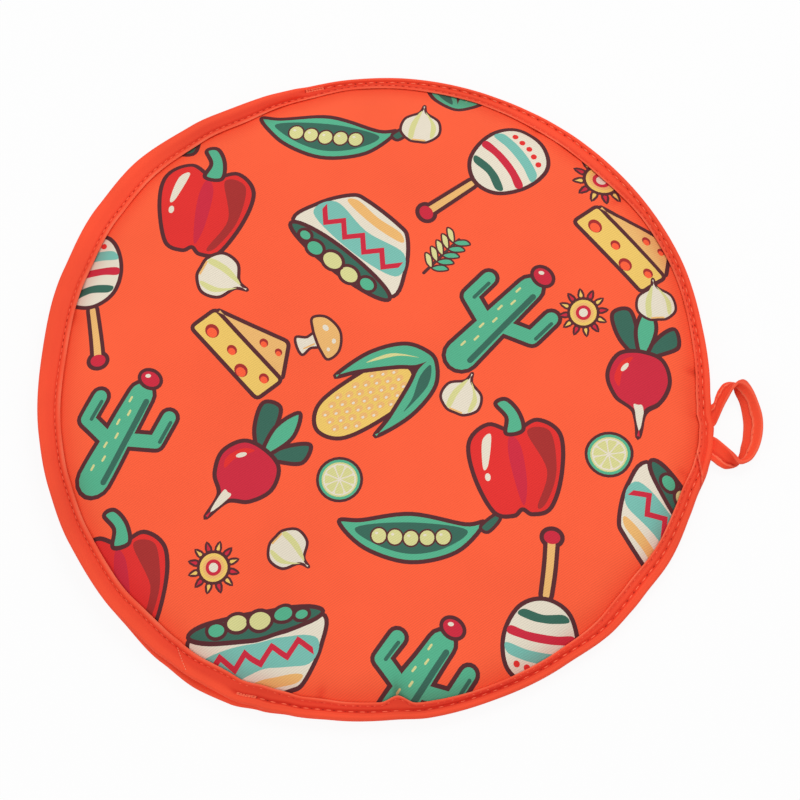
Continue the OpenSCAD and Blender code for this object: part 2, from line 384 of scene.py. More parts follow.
def lime_wheel():
    out = inked((leaf, oval(0, 0, 17.5)))
    out += [(lime, oval(0, 0, 14.2)), (cream, oval(0, 0, 13))]
    wedge = np.array([(2.4, 0.4), (10.6, 3.4), (11.6, 0), (10.6, -3.4), (2.4, -0.4)])
    for k in range(8):
        out.append((lime, curve(np.column_stack(turned(*wedge.T, 45 * k + 10)), 4)))
    return out


def bell_pepper():
    body = mirrored([(0, 19), (13, 24), (24, 15), (23, -4), (15, -24), (5, -27), (0, -24)])
    stem = curve([(-4, 18), (-3, 27), (-8, 35), (-2, 37), (4, 29), (5, 19)])
    return inked((red, body)) + [
        (rust, curve([(7, 18), (19, 17), (20, -4), (13, -21), (8, -23), (15, -4)])),
        (crimson, curve([(-2, 17), (3, 10), (4, -10), (1, -22), (-2, -10), (-4, 8)])),
        (cream, curve([(-17, 15), (-12, 18), (-15, 2), (-18, 0)])), (cream, oval(-16, -5, 1.5, 2.2, 0, 12)),
    ] + inked((leaf, stem))


def radish():
    bulb = mirrored([(0, 15), (12, 12), (17, 0), (12, -12), (3, -19), (0, -33)])
    tops = [curve([(-1, 12), (-12, 20), (-18, 34), (-9, 38), (-3, 26)]),
            curve([(0, 12), (-4, 28), (1, 42), (7, 30), (4, 16)]),
            curve([(2, 12), (8, 24), (17, 32), (20, 22), (11, 15)])]
    out = inked((deep, tops[0]), (deep, tops[2])) + inked((leaf, tops[1])) + inked((crimson, bulb))
    return out + [(cream, curve([(-2.5, -16), (0, -15), (2.5, -16), (0, -29)], 4)),
                  (red, curve([(-12, 4), (-9, 9), (-4, 11), (-9, 2), (-10, -6), (-13, -2)])),
                  (cream, oval(-8, 5, 1.3, 3, -35, 14))]


def cheese_wedge():
    side = np.array([(-27, -15), (27, -11), (27, 6), (-27, 2)], float)
    top = np.array([(-27, 2), (27, 6), (12, 22)], float)
    out = inked((corn, curve_corners(side)), (straw, curve_corners(top)))
    for x, y, r in ((-18, -7, 4.2), (-3, -5, 3), (9, -8, 4), (20, -1, 3), (4, 11, 2.6), (13, 14, 2.2)):
        out += [(rust, oval(x, y, r, r * 0.85, 0, 18)),
                (ground, oval(x + 0.7, y - 0.6, r * 0.72, r * 0.6, 0, 16))]
    return out


def curve_corners(shape, per=5):
    """Straight sides with small round corners."""
    out = []
    n = len(shape)
    for i in range(n):
        a, b, c = shape[i - 1], shape[i], shape[(i + 1) % n]
        u, v = (a - b) / np.hypot(*(a - b)), (c - b) / np.hypot(*(c - b))
        for k in range(per):
            t = k / (per - 1)
            out.append(b + u * 3 * (1 - t) ** 2 + v * 3 * t ** 2)
        out.append((b + c) / 2)
    return np.array(out)


def maraca():
    head = mirrored([(0, 38), (15, 32), (19, 16), (13, 0), (0, -6)])
    out = inked((straw, bar(0, -38, 0, -8, 6.5, 5.5)), (crimson, oval(0, -38, 5.4, 4.6)))
    out += inked((cream, head))
    out += [(sky, curve([(-16, 24), (-8, 26), (0, 26.5), (8, 26), (16, 24), (17.4, 19), (8, 20.6), (0, 21),
                         (-8, 20.6), (-17.4, 19)])),
            (crimson, curve([(-17, 14), (-8, 16), (0, 16.5), (8, 16), (17, 14), (16, 10), (8, 11.8),
                             (0, 12.2), (-8, 11.8), (-16, 10)])),
            (deep, curve([(-13, 3.6), (-6, 6), (0, 6.6), (6, 6), (13, 3.6), (10, 0.6), (0, 2.4),
                          (-10, 0.6)]))]
    for k in range(-2, 3):
        out.append((red, oval(k * 5.4, 30.2 - abs(k) * 0.8, 1.7, 1.7, 0, 10)))
    return out


def mushroom():
    cap = curve([(-19, 0), (-15, 11), (0, 17), (15, 11), (19, 0), (10, -3), (0, -3.6), (-10, -3)])
    stalk = curve([(-6, -2), (-5, -10), (-8, -18), (0, -20), (8, -18), (5, -10), (6, -2)])
    return inked((cream, stalk)) + inked((straw, cap)) + [
        (cream, oval(-7, 7, 3, 2.2, 20, 14)), (cream, oval(6, 9.5, 2.2, 1.7, -15, 12)),
        (cream, oval(11, 3, 1.7, 1.4, 0, 12)), (straw, bar(2.6, -6, 3.4, -15, 1.3))]


def garlic():
    bulb = mirrored([(0, 20), (3, 12), (14, 5), (16, -7), (8, -15), (0, -16)])
    return inked((cream, bulb)) + [
        (lime, curve([(-1, 14), (-8, 2), (-9, -12), (-5, -13), (-4, -2)], 5)),
        (lime, curve([(2, 13), (8, 2), (9, -11), (12, -9), (12, 1)], 5)),
        (straw, bar(-5, -14.2, 5, -14.2, 1.4))]


def sprig():
    out = inked((deep, bar(-2, -20, 2, 20, 1.4, 1.0)), line=0.7)
    for k in range(5):
        y = -13 + 7 * k
        for s in (-1, 1):
            blade = curve([(0.4, y), (s * 6, y + 1), (s * 12, y + 7), (s * 7, y + 8), (s * 2, y + 4)], 5)
            out += inked((leaf if s > 0 else lime, blade), line=0.7)
    return out


def pea_pod():
    pod = curve([(-38, 8), (-24, -6), (0, -13), (24, -7), (38, 9), (28, 8), (0, 13), (-26, 9)])
    out = inked((leaf, pod))
    out += [(deep, curve([(-29, 5), (-18, -4), (0, -8.6), (18, -5), (29, 5), (0, 8.4)]))]
    for k in range(-2, 3):
        x, y = k * 8.4, -0.2 + 0.5 * abs(k)
        out += [(ink, oval(x, y, 4.7, 4.9, 0, 20)), (lime, oval(x, y, 3.8, 4.0, 0, 18)),
                (cream, oval(x - 1.2, y + 1.4, 0.9, 0.7, 0, 8))]
    return out + inked((deep, curve([(36, 7), (44, 14), (46, 11), (40, 4)], 5)), line=0.9)


def sunburst():
    ray = np.array([(12.5, 2.9), (21.5, 0), (12.5, -2.9)])
    out = [curve_corners(np.column_stack(turned(*ray.T, 30 * k)), 3) for k in range(12)]
    shapes = [(ink, grow(s, 1.0)) for s in out] + [(corn if i % 2 else crimson, grow(s, -0.8))
                                                   for i, s in enumerate(out)]
    return shapes + inked((corn, oval(0, 0, 12))) + [
        (straw, oval(0, 0, 8.4)), (crimson, oval(0, 0, 6.2)), (cream, oval(0, 0, 3.6))]


def bowl():
    body = curve([(-34, 8), (-31, -9), (-20, -24), (-11, -27), (11, -27), (20, -24), (31, -9), (34, 8),
                  (0, 10)])
    rim = oval(0, 9, 35, 6.5, 0, 40)
    out = inked((cream, body))
    zig = [(-27 + 6.75 * k, -1 if k % 2 else -8) for k in range(9)] \
        + [(-27 + 6.75 * k, -5 if k % 2 else -12) for k in range(8, -1, -1)]
    out += [(sky, curve([(-29, -3), (0, 1), (29, -3), (24, -16), (0, -13), (-24, -16)])),
            (crimson, np.array(zig, float))]
    out += [(straw, curve([(-19, -20), (0, -18), (19, -20), (15, -24), (0, -23), (-15, -24)], 5))]
    out += inked((deep, rim))
    for x, y, r in ((-20, 10, 5), (-9, 12, 6), (3, 11.5, 6.4), (15, 12, 5.4), (24, 9.6, 4)):
        out += inked((lime if r > 5.5 else leaf, oval(x, y, r, r * 0.8, 0, 20)), line=0.9)
    return out


big = [corn_cob, bell_pepper, bowl, cactus, radish, pea_pod, maraca, cheese_wedge]
small = [lime_wheel, mushroom, sprig, garlic, sunburst]
reach = {corn_cob: 38, bell_pepper: 34, bowl: 37, cactus: 40, radish: 36, pea_pod: 40, maraca: 40,
         cheese_wedge: 30, lime_wheel: 19, mushroom: 21, sprig: 22, garlic: 20, sunburst: 23}
print_step, slide_x, slide_y = 62.0, 6.0, -9.0
gaps = [(0.5, 0.05), (0.28, 0.5), (0.74, 0.46), (0.5, 0.3), (0.4, 0.7), (0.62, 0.8), (0.12, 0.36),
        (0.9, 0.64)]


def on_lattice(column, row):
    return column * print_step * 1.12 + slide_x, row * print_step * 0.92 + slide_y


def scatter(turn, first):
    """Places of a half-drop layout: big things on the lattice, small ones where there is room."""
    places, taken = [], []

    def put(thing, x, y, spin, size, room=0.84):
        round_it = reach[thing] * size * room
        if any(math.hypot(x - u, y - v) < round_it + w for u, v, w in taken):
            return
        taken.append((x, y, round_it))
        places.append((thing, x, y, spin, size))

    cells = [(i, j) for j in range(-4, 5) for i in range(-4, 5)]
    for i, j in cells:
        x, y = on_lattice(i + 0.5 * (j % 2), j)
        wob = (math.sin(i * 12.9898 + j * 78.233) * 43758.5453) % 1.0
        px, py = x + 5 * math.sin(17 * wob), y + 5 * math.cos(23 * wob)
        if math.hypot(px, py) < rim_r + 34:
            put(big[(i + 3 * j + first) % len(big)], *turned(px, py, turn),
                -34 + 68 * wob + (180 if (i + j) % 5 == 0 else 0) + turn, 0.84)
    for n, (i, j) in enumerate(cells * len(gaps)):
        spot = n // len(cells)
        x, y = on_lattice(i + 0.5 * (j % 2) + gaps[spot][0], j + gaps[spot][1])
        if math.hypot(x, y) < rim_r - 9:
            put(small[(2 * i + j + spot + first) % len(small)], *turned(x, y, turn), 47 * i + 31 * j + turn,
                0.66 if spot < 3 else 0.56, 0.8)
    return places


def topmost(mids, outlines):
    """For each place, the last outline that goes round it, or -1."""
    top = np.full(len(mids), -1)
    for n, line in enumerate(outlines):
        low, high = line.min(0), line.max(0)
        near = np.flatnonzero(((mids > low) & (mids < high)).all(1))
        if not len(near):
            continue
        x, y = mids[near, 0][:, None], mids[near, 1][:, None]
        x0, y0 = line[:, 0][None], line[:, 1][None]
        x1, y1 = np.roll(line[:, 0], -1)[None], np.roll(line[:, 1], -1)[None]
        spans = (y0 > y) != (y1 > y)
        cut = x0 + (x1 - x0) * (y - y0) / np.where(y1 == y0, 1.0, y1 - y0)
        top[near[(spans & (x < cut)).sum(1) % 2 == 1]] = n
    return top


cover_r = rim_r - 1.0
# past near_rim_r no side of an outline is much longer than short_side
near_rim_r, short_side = 120, 1.4


def cut_short(line):
    """Splits an outline's long sides near the rim, so that they follow the cloth down under the tape."""
    out = []
    for p, q in zip(line, np.roll(line, -1, axis=0)):
        near = max(np.hypot(*p), np.hypot(*q)) > near_rim_r
        parts = max(1, int(np.hypot(*(q - p)) / short_side)) if near else 1
        out += [p + (q - p) * k / parts for k in range(parts)]
    return np.array(out)


def printed_disc(places, height, faces_up):
    """The cut cloth disc, meshed along every outline of the print so that its edges stay crisp."""
    points, shapes, colours = [], [], []
    for make, x, y, turn, size in places:
        for colour, shape in make():
            line = np.column_stack(turned(*shape.T, turn, x, y, size))
            if np.hypot(line[:, 0], line[:, 1]).min() > rim_r:
                continue
            line = cut_short(line)
            shapes.append(list(range(len(points), len(points) + len(line))))
            points += [tuple(p) for p in line]
            colours.append(linear(*colour))
    turns = 300
    for ring in np.arange(4.0, 128.0, 4.0):
        n = max(6, int(2 * math.pi * ring / 4.6))
        t = 2 * math.pi * (np.arange(n) + 0.5 * (int(ring) % 8 == 0)) / n
        points += [(ring * math.cos(a), ring * math.sin(a)) for a in t]
    edge = []
    for k in range(13):
        for i in range(turns):
            a = 360.0 * i / turns
            inner = float(tape_in(a)) - tuck_w - 3
            r = inner + (cover_r - inner) * k / 12
            if k == 12:
                edge.append(len(points))
            points.append(at_angle(r, a))
    rim = [(edge[i], edge[(i + 1) % turns]) for i in range(turns)]
    outlines = [np.array([points[i] for i in shape]) for shape in shapes]
    lines = rim + [(s[k], s[(k + 1) % len(s)]) for s in shapes for k in range(len(s))]
    verts, _, faces, *_ = delaunay_2d_cdt([Vector(p) for p in points], lines, [], 0, 1e-3)
    flat = np.array([(v[0], v[1]) for v in verts])
    mids = np.array([flat[list(face)].mean(0) for face in faces])
    top = topmost(mids, outlines)
    kept, dye = [], []
    for face, mid, owner in zip(faces, mids, top):
        if math.hypot(*mid) > cover_r * math.cos(math.pi / turns) + 1e-6:
            continue
        corner = flat[list(face)]
        area = sum(corner[i - 1][0] * corner[i][1] - corner[i][0] * corner[i - 1][1]
                   for i in range(len(face)))
        order = tuple(face) if (area > 0) == faces_up else tuple(reversed(face))
        kept.append(order)
        dye.append(colours[owner] if owner >= 0 else linear(*ground))
    used = sorted(set(i for f in kept for i in f))
    renumber = {old: new for new, old in enumerate(used)}
    flat = flat[used]
    kept = [tuple(renumber[i] for i in f) for f in kept]
    corners = np.column_stack([flat, height(flat[:, 0], flat[:, 1])])
    return flat, corners, kept, dye


def dent(x, y, place, spread=1.0):
    """The height that a crease or pinch (middle, turn, length, width, height) gives at each point."""
    cx, cy, turn, long, wide, height = place
    u, v = turned(x - cx, y - cy, -turn)
    return height * np.exp(-(u / (spread * long)) ** 2 - (v / (spread * wide)) ** 2)


def printed_and_shaded(piece, flat, faces, dye, pulled=()):
    """Gives each face its printed colour, with painted shade where the cloth dives under the tape and at the
    pinches.
    """
    # the "print" attribute holds the print's colours with painted shade laid over them
    layer = piece.data.color_attributes.new("print", "FLOAT_COLOR", "CORNER")
    values = np.repeat(np.array([(*c, 1.0) for c in dye]), [len(f) for f in faces], axis=0)
    x, y = flat[[i for f in faces for i in f]].T
    # painted shade: the print darkens towards the tape's inner edge, where the cloth goes down under it
    shade_near_tape = np.exp(-(np.minimum(np.hypot(x, y) - tape_in(angle_of(x, y)) + 0.5, 0) / 4.5) ** 2)
    values[:, :3] *= 1 - shade_near_tape[:, None] * (0.06, 0.26, 0.26)
    # painted shade in each pinch
    for pinch in pulled:
        pinch_shade = abs(dent(x, y, pinch, 0.6))
        values[:, :3] *= 1 - np.minimum(pinch_shade, 1)[:, None] * (0.10, 0.42, 0.42)
    layer.data.foreach_set("color", values.astype(np.float32).ravel())


printed_twill = woven("printed_twill", (1, 1, 1), rough=0.8, attribute="print", rib=0.95, lean=50, tone=0.13,
                      bump=0.12)

flat, corners, faces, dye = printed_disc(
    scatter(148, 3), lambda x, y: back_z(np.hypot(x, y), angle_of(x, y)), False)
piece = make_piece("back_cover_cloth", settle(corners), faces, printed_twill)
printed_and_shaded(piece, flat, faces, dye)
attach(piece, "pouch")
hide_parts("back_cover")

# ------------------------------------------------------------- back binding
# Folded bias tape of the same orange cloth, plain, closed over the raw edge
# of the disc and sewn down all round close to its inner edge.
seam_from, seam_to = -105.5, 108.0


def sewn_share(angle):
    """1 where the two discs are sewn together, 0 at the mouth."""
    off = (angle + 180) % 360 - 180
    return ease((off - seam_from + 3) / 3) * ease((seam_to + 3 - off) / 3)


# how far the joining seam runs from the rim, and the tape's own row of
# stitches from its inner edge
seam_in = round_the_rim([(0, 3.5), (20, 3.3), (45, 2.8), (75, 2.7), (108, 3.3), (254, 3.6), (272, 3.0),
                         (285, 2.8), (300, 2.9), (312, 3.2), (330, 3.9), (343, 3.2)])
edge_row_in = round_the_rim([(0, 1.2), (106, 1.3), (122, 2.5), (238, 2.6), (256, 1.5)])


def seam_at(angle):
    return rim_r - seam_in(angle)


def tape_section(angle, floor_z, out_r, rise):
    """Places (radius, height) round the tape's section at one angle, closest together at its stitches."""
    inner, nose = float(tape_in(angle)), rim_t / 2
    end = out_r - nose
    row, seam = inner + float(edge_row_in(angle)), min(float(seam_at(angle)), end - 0.5)
    a = min(0.8, (row - inner) * 0.8, (seam - row) * 0.4)
    b = min(0.9, (seam - row) * 0.45, (end - seam) * 0.7)
    stops = [inner] + [row + a * k / 2 for k in range(-2, 3)] + \
        [row + a + (seam - b - row - a) * k / 4 for k in (1, 2, 3)] + \
        [seam + b * k / 2 for k in range(-2, 3)] + [seam + b + (end - seam - b) * k / 4 for k in range(1, 5)]
    low = [(r, floor_z(r, angle)) for r in stops]
    top = [(r, z + rim_t + float(rise(r, angle))) for r, z in low]
    end_z = low[-1][1]
    lift = top[-1][1] - end_z
    turn = [(end + nose * math.cos(math.radians(a)),
             end_z + lift / 2 + lift / 2 * math.sin(math.radians(a))) for a in range(75, -90, -15)]
    first = [(inner + 0.05, top[0][1] - tape_t), (inner - 0.12, top[0][1] - 0.32)]
    inside = [(r, z + tape_t) for r, z in low[2:]] + [(r, z - tape_t) for r, z in reversed(top[1:])]
    foot = [(inner + 0.05, low[0][1] + tape_t), (inner - 0.12, low[0][1] + 0.32)]
    return first + top + turn + list(reversed(low)) + list(reversed(foot)) + inside


def tape_round(floor_z, rise, reach_at):
    """The tape swept right round the rim as one closed ring."""
    sections = [[(*at_angle(r, angle), z) for r, z in tape_section(angle, floor_z, reach_at(angle), rise)]
                for angle in tape_angles]
    n, turns = len(sections[0]), len(sections)
    faces = [(i * n + k, i * n + (k + 1) % n, ((i + 1) % turns) * n + (k + 1) % n, ((i + 1) % turns) * n + k)
             for i in range(turns) for k in range(n)]
    return np.concatenate(sections), faces


# the tape's colour, and the paler colour of the painted highlights along its folds
tape_dye, tape_highlight = linear(250, 80, 48), linear(255, 136, 102)
tape_cloth = woven("tape_twill", tape_dye, rough=0.72, rib=0.5, lean=38, tone=0.06, bump=0.08, blotch=0.10,
                   attribute="tint")
# the thread is paler than the tape: painted highlight for the glints on the stitches
thread_shine = woven("sewing_thread", linear(255, 118, 84), rough=0.34, rib=0.25, lean=30, tone=0.1, bump=0.2)
# dark beads as painted shade in the needle holes
needle_hole_shade = shade("needle_hole_shade", linear(172, 38, 25), 0.9)[0]


# painted shade round the rim, strongest where the tape is drawn down most deeply between the disc and the
# roll
crease_shade = [(0, 0.35), (30, 0.15), (60, 0.05), (95, 0.35), (112, 1.0), (126, 0.95), (142, 0.4), (165, 0.15),
           (200, 0.35), (232, 0.5), (248, 1.0), (262, 1.0), (292, 1.0), (308, 0.8), (330, 0.4), (350, 0.45)]
# how tightly the joining stitches are pulled, which deepens their groove and the painted shade in it
pulled_tight = round_the_rim([(0, 0.4), (60, 0.3), (106, 0.5), (250, 1.0), (305, 1.0), (330, 0.7),
                              (350, 0.5)])


# the angle at which the tape's slanting cut end starts, and how many degrees it leans
tape_end_at, tape_end_lean = 353.5, 4.1


def across_tape(r, angle):
    """0 at the tape's inner edge, 1 at the middle of its fold."""
    return (r - tape_in(angle)) / (rim_r - rim_t / 2 - tape_in(angle))


def tape_end_off(r, angle):
    """How many degrees past the tape's slanting cut end a place is."""
    return angle - (tape_end_at - tape_end_lean * across_tape(r, angle))


def rim_shade_and_highlight(places):
    """Painted shade along the rows of stitches, in the creases and under the tape's cut end, and painted
    highlight along the inner fold and on the cut end.
    """
    x, y = np.array(places, float)[:, :2].T
    r, a = np.hypot(x, y), angle_of(x, y)
    inner, sewn = tape_in(a), sewn_share(a)
    # painted shade in the grooves of both rows of stitches
    dark = (0.14 + 0.06 * sewn) * np.exp(-((r - inner - edge_row_in(a)) / 0.7) ** 2) \
        + 0.24 * sewn * pulled_tight(a) * np.exp(-((r - seam_at(a)) / 0.9) ** 2)
    width = rim_r - inner
    # painted shade in the crease between the disc and the roll
    dark += 0.26 * around(a, crease_shade) * ease((r - inner - 0.06 * width) / (0.25 * width)) \
        * (1 - ease((r - inner - 0.5 * width) / (0.3 * width)))
    off = tape_end_off(r, a)
    # painted shadow under the lapped cut end
    dark += 0.5 * np.exp(-((off + 0.3) / 0.28) ** 2)
    # painted highlight along the inner fold and on the cut end
    highlight = 0.55 * np.exp(-((r - inner - 0.1) / 0.45) ** 2) * (0.7 + 0.3 * np.sin(np.radians(31 * a))) \
        + 0.5 * np.exp(-((off - 0.2) / 0.22) ** 2)
    return dark, highlight


def tinted(piece, dark, highlight):
    """The tape's dye, with painted shade and painted highlight laid on point by point."""
    layer = piece.data.color_attributes.new("tint", "FLOAT_COLOR", "POINT")
    colours = np.ones((len(piece.data.vertices), 4))
    colours[:, :3] = tape_dye * (1 - np.minimum(dark, 0.5)[:, None] * (0.65, 1.5, 1.5))
    colours[:, :3] += np.clip(highlight, 0, 0.7)[:, None] * (np.array(tape_highlight) - colours[:, :3])
    layer.data.foreach_set("color", colours.astype(np.float32).ravel())


def back_rise(r, angle):
    return 0.12 - 0.3 * np.exp(-((r - tape_in(angle) - edge_row_in(angle)) / 0.5) ** 2)


tape_angles = np.unique(np.round(np.concatenate([np.arange(0, 360, 0.4), np.arange(347, 356, 0.125),
                                                 np.arange(238, 247, 0.125)]), 4))
corners, faces = tape_round(
    lambda r, a: table_gap, back_rise,
    lambda a: rim_r + 0.2 * math.sin(math.radians(3 * a + 40)) + 0.12 * math.sin(math.radians(11 * a)))
piece = make_piece("back_binding_tape", settle(corners), faces, tape_cloth)
# painted shade and painted highlight on the back tape
tinted(piece, *rim_shade_and_highlight(corners))
piece.data.flip_normals()
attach(piece, "pouch")
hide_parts("back_binding")


def stitch_tree():
    """Stitches along a line: short threads that dive into the cloth, with a dark bead between each two as
    painted shade in the needle hole.
    """
    tree = bpy.data.node_groups.new("row_of_stitches", "GeometryNodeTree")
    sockets = {}
    for name, kind, value in (("Line", "Geometry", None), ("Stitch pitch", "Float", 0.003),
                              ("Stitch length", "Float", 0.0024), ("Thread thickness", "Float", 0.0005),
                              ("Hole width", "Float", 0.0007), ("Hole length", "Float", 0.0012),
                              ("Unevenness", "Float", 0.05), ("Seed", "Int", 7)):
        socket = tree.interface.new_socket(name, in_out="INPUT", socket_type="NodeSocket" + kind)
        if value is not None:
            socket.default_value = value
        sockets[name] = socket.identifier
    tree.interface.new_socket("Stitches", in_out="OUTPUT", socket_type="NodeSocketGeometry")
    given = add_node(tree, "NodeGroupInput").outputs

    def bead(rings, across, along, ahead, material):
        """A small ball drawn out along the row."""
        ball = add_node(tree, "GeometryNodeMeshUVSphere", {"Segments": 8, "Rings": rings, "Radius": 0.5})
        size = add_node(tree, "ShaderNodeCombineXYZ",
                        {"X": given[across], "Y": given[across], "Z": given[along]})
        drawn = add_node(tree, "GeometryNodeTransform",
                         {"Geometry": ball, "Translation": ahead, "Scale": size})
        return add_node(tree, "GeometryNodeSetMaterial", {"Geometry": drawn, "Material": material})

    line = add_node(tree, "GeometryNodeMeshToCurve", {"Mesh": given["Line"]})
    spaced = add_node(tree, "GeometryNodeResampleCurve", {"Curve": line, "Length": given["Stitch pitch"]},
                      mode="LENGTH")
    half = add_node(tree, "ShaderNodeMath", {0: given["Stitch pitch"], 1: 0.5}, operation="MULTIPLY")
    beside = add_node(tree, "ShaderNodeCombineXYZ", {"Z": half})
    threads = bead(7, "Thread thickness", "Stitch length", (0, 0, 0), thread_shine)
    holes = bead(4, "Hole width", "Hole length", beside, needle_hole_shade)
    both = add_node(tree, "GeometryNodeJoinGeometry", {"Geometry": threads})
    tree.links.new(holes.outputs[0], both.inputs["Geometry"])
    tangent = add_node(tree, "GeometryNodeInputTangent")
    turn = add_node(tree, "FunctionNodeAlignRotationToVector", {"Vector": tangent}, axis="Z")
    low_side = add_node(tree, "ShaderNodeMath", {0: given["Unevenness"], 1: -1.0}, operation="MULTIPLY")
    sway = add_node(tree, "FunctionNodeRandomValue",
                    {"Min": low_side, "Max": given["Unevenness"], "Seed": given["Seed"]},
                    data_type="FLOAT_VECTOR")
    askew = add_node(tree, "FunctionNodeRotateRotation", {"Rotation": turn, "Rotate By": sway},
                     rotation_space="LOCAL")
    placed = add_node(tree, "GeometryNodeInstanceOnPoints",
                      {"Points": spaced, "Instance": both, "Rotation": askew})
    real = add_node(tree, "GeometryNodeRealizeInstances", {"Geometry": placed})
    add_node(tree, "NodeGroupOutput", {0: real})
    return tree, sockets


stitch_nodes, stitch_sockets = stitch_tree()


def sew(name, lines, pitch=3.0, length=2.3, thick=0.5, hole=0.62, gap=0.62, uneven=0.05, seed=7,
        closed=False):
    """One piece of stitching along one or more lines of places."""
    verts, edges = [], []
    for line in lines:
        start = len(verts)
        verts += [tuple(np.asarray(p) * 0.001) for p in line]
        edges += [(start + k, start + k + 1) for k in range(len(line) - 1)]
        if closed:
            edges.append((len(verts) - 1, start))
    guide = bpy.data.meshes.new(name + "_line")
    guide.from_pydata(verts, edges, [])
    holder = in_scene(name + "_line", guide)
    rows = holder.modifiers.new("stitches", "NODES")
    rows.node_group = stitch_nodes
    for key, value in (("Stitch pitch", pitch * 0.001), ("Stitch length", length * 0.001),
                       ("Thread thickness", thick * 0.001), ("Hole width", hole * 0.001),
                       ("Hole length", gap * 0.001), ("Unevenness", uneven), ("Seed", seed)):
        rows[stitch_sockets[key]] = value
    bpy.context.view_layer.update()
    ready = holder.evaluated_get(bpy.context.evaluated_depsgraph_get())
    mesh = bpy.data.meshes.new_from_object(ready)
    mesh.name = name
    bpy.data.objects.remove(holder)
    mesh.polygons.foreach_set("use_smooth", [True] * len(mesh.polygons))
    return in_scene(name, mesh)


def rim_line(radius, height, start, stop, step=1.0):
    """Places along the rim between two angles."""
    count = max(2, int(abs(stop - start) / step) + 1)
    out = []
    for a in np.linspace(start, stop, count):
        r = float(radius(a))
        out.append((*at_angle(r, a), float(height(r, a))))
    return out


def edge_row_at(angle):
    return tape_in(angle) + edge_row_in(angle)


edge_row = rim_line(edge_row_at, lambda r, a: table_gap - 0.05, 0, 359)
upper_row = rim_line(edge_row_at, lambda r, a: table_gap + rim_t + float(back_rise(r, a)), 0, 359)
piece = sew("back_binding_stitches", [settle(edge_row), settle(upper_row)], pitch=3.2, length=2.0, thick=0.42,
            hole=0.45, gap=1.1, closed=True)
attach(piece, "pouch")
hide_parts("back_binding_stitching")

# --------------------------------------------------------------- front disc
# Made like the back one, but domed: bread has stretched it. The part at the
# mouth isn't sewn to the back, so it stands a little open and folds up about
# the straight line between the ends of the mouth.
fold_x, fold_z = -49.649, 19.394
gape = math.radians(4.0)
fold_from, fold_to = fold_x + 6.0, fold_x - 18.0
# the room for the bread, whose roof comes down steeply just inside the seam
cavity_r, cavity_h, shoulder_power = 146.5, 12.0, 7
rim_gap = 0.3


def cavity(r):
    return np.where(r >= cavity_r, 0.0,
                    cavity_h * (1 - (np.minimum(r, cavity_r) / cavity_r) ** shoulder_power))


creases = [(98, 96, 45, 17, 3.2, 0.55), (87, 103, 52, 13, 2.6, -0.35), (-92, 92, -46, 19, 3.6, 0.5),
           (-104, 66, -30, 15, 3.0, -0.3), (118, 22, 78, 9, 2.2, 0.35), (120, 4, 92, 8, 2.0, 0.35),
           (-58, -112, 62, 14, 3.0, 0.4), (12, -126, 0, 10, 2.4, 0.45), (-30, 121, 12, 13, 3.0, 0.35),
           (60, -108, -60, 12, 3.0, 0.3), (-118, -30, 15, 16, 3.4, 0.35), (104, -66, -32, 12, 2.8, 0.35),
           (132, 27, 14, 9, 3.0, 0.4), (104, 93, 42, 8, 1.8, -0.6), (-136, 16, 172, 6, 2.4, -0.6),
           (-134, 30, 166, 7, 2.6, -0.5)]
pinches = [(143, 20.5, 8, 4.2, 1.9, -1.1), (144.4, 1, 0, 3, 1.5, -0.9), (140, -27, -11, 4, 1.8, -0.7),
           (27, -139, -78, 5, 2.2, -1.0), (-6, -142, -92, 4, 1.8, -0.8), (101, 98, 44, 5, 2.0, -0.8),
           (-139, 16, 174, 5, 1.8, -0.7), (-137, 30, 168, 5, 2.2, -0.6), (60, 130, 65, 4, 1.8, -0.6)]


def unrest(x, y):
    """How the stuffed cloth stands above or below a true dome."""
    r, a = np.hypot(x, y), angle_of(x, y)
    hill = 0.34 * np.sin(x / 17 + 0.6) * np.cos(y / 21 - 0.4) + 0.22 * np.sin((x + y) / 11) \
        + 0.16 * np.cos((x - 0.6 * y) / 8.5 + 1.1)
    inner = 1 - tucked(r, a)
    for crease in creases:
        hill = hill + dent(x, y, crease)
    dip = np.zeros_like(r)
    for pinch in pinches:
        dip = dip + dent(x, y, pinch)
    puff = 0.7 * np.exp(-((r - (tape_in(a) - 12.5)) / 5.0) ** 2)
    edge = np.exp(-((r - (tape_in(a) - 4.5)) / 4.0) ** 2)
    t = np.radians(a)
    gather = np.sin(43 * t + 1.3 * np.sin(5 * t)) * 0.5 + np.sin(61 * t + 0.7) * 0.3 \
        + np.sin(28 * t + 2) * 0.35
    return hill * np.minimum(1, inner + 0.15) * np.clip((150 - r) / 20, 0, 1) \
        + 0.36 * gather * edge + puff + dip


def front_floor(r, a):
    """Underside of the front disc before the mouth is opened."""
    return back_z(r, a) + whole_t(r, a) + rim_gap + cavity(r) + 2 * (tape_t + ply) * tucked(r, a)


def fold_open(corners):
    """Lets the mouth stand open by bending the disc about its fold line."""
    p = settle(corners, True)
    w = ease((fold_from - p[:, 0]) / (fold_from - fold_to)) * gape
    x, z = p[:, 0] - fold_x, p[:, 2] - fold_z
    p[:, 0] = fold_x + x * np.cos(w) + z * np.sin(w)
    p[:, 2] = fold_z - x * np.sin(w) + z * np.cos(w)
    return p


def across_fold(piece):
    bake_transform(piece)


def held_down(r, a):
    """How much the tape presses the layers under it."""
    return 0.4 * ease((r - tape_in(a) - 0.15) / 0.7)


fine_rings = [4 * k for k in range(1, 32)] + edge_rings
plan, plan_faces = grid_disc(fine_rings, disc_turns)
plan_r = np.hypot(plan[:, 0], plan[:, 1])
plan_a = angle_of(plan[:, 0], plan[:, 1])
base = front_floor(plan_r, plan_a)
swell = unrest(plan[:, 0], plan[:, 1])

